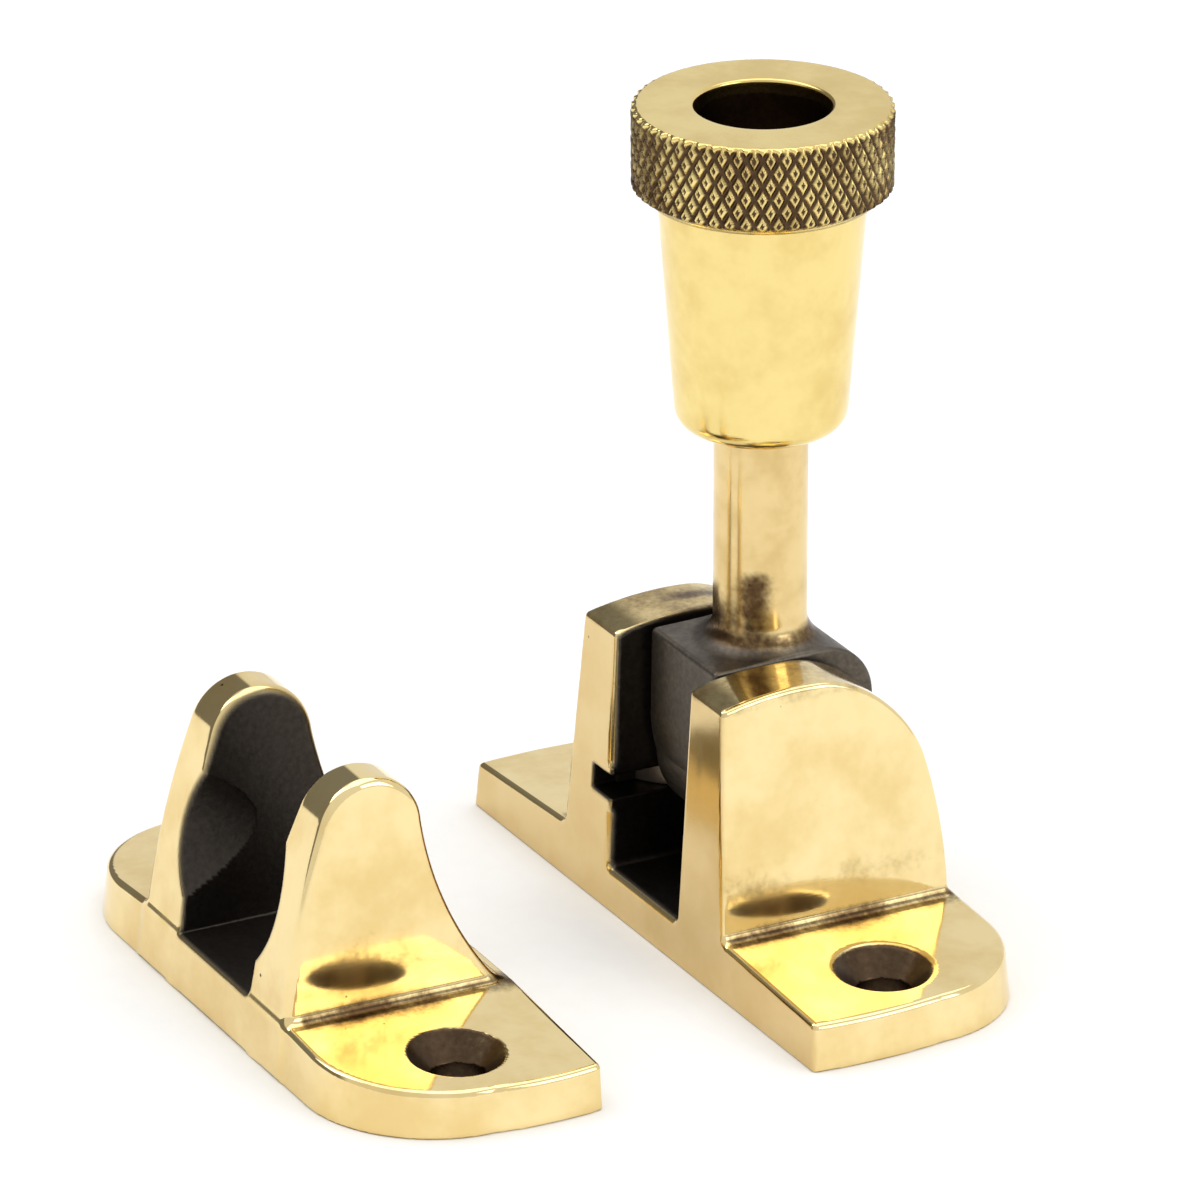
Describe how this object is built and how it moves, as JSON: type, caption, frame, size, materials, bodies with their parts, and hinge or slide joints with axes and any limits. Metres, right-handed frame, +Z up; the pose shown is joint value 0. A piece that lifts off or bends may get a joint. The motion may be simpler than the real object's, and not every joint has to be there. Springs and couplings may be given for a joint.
{
  "type": "sash window fastener",
  "caption": "Swinging screw arm with a knurled thumb nut, hinged between two cheeks on a screw-down plate, and a loose forked keeper that the nut clamps against.",
  "frame": {"origin": "middle of the fastener's two screw holes, on the plate's underside", "axes": "+X along the fastener's screw line, +Y from the keeper towards the fastener, +Z up, out of the window rail"},
  "size_m": [0.0595, 0.0588, 0.0683],
  "materials": {
    "cast_brass": "cast brass, polished, tarnished brown in the creases",
    "arm_brass": "cast and turned brass, dark patina low down",
    "turned_brass": "turned and knurled brass, satin",
    "steel": "dull steel"
  },
  "bodies": {
    "fastener": {"fastener_base": "cast_brass", "pivot_pin": "steel", "leaf_spring": "steel"},
    "arm": {"swing_arm": "arm_brass", "stop_screw": "steel"},
    "washer": {"stop_washer": "turned_brass"},
    "nut": {"thumb_nut": "turned_brass"},
    "keeper": {"keeper": "cast_brass"}
  },
  "joints": [
    {"name": "arm_swing", "type": "hinge", "parent": "fastener", "child": "arm", "pos_m": [0, 0.0009, 0.0135], "axis": [1, 0, 0], "range_deg": [0, 90]},
    {"name": "nut_travel", "type": "slide", "parent": "arm", "child": "washer", "axis": [0, 0, 1], "range_m": [-0.0053, 0.0029]},
    {"name": "nut_spin", "type": "hinge", "parent": "washer", "child": "nut", "pos_m": [0, 0.0009, 0.06], "axis": [0, 0, 1], "range_deg": [-1910, 1046]},
    {"name": "keeper_slide", "type": "slide", "parent": "fastener", "child": "keeper", "axis": [0.1242, 0.9923, 0], "range_m": [0, 0.01583]}
  ],
  "couplings": [
    {"joint": "nut_spin", "follows": "nut_travel", "rad_per_m": 6283.2},
    {"joint": "keeper_slide", "follows": "arm_swing", "m_per_rad": 0.010073}
  ]
}
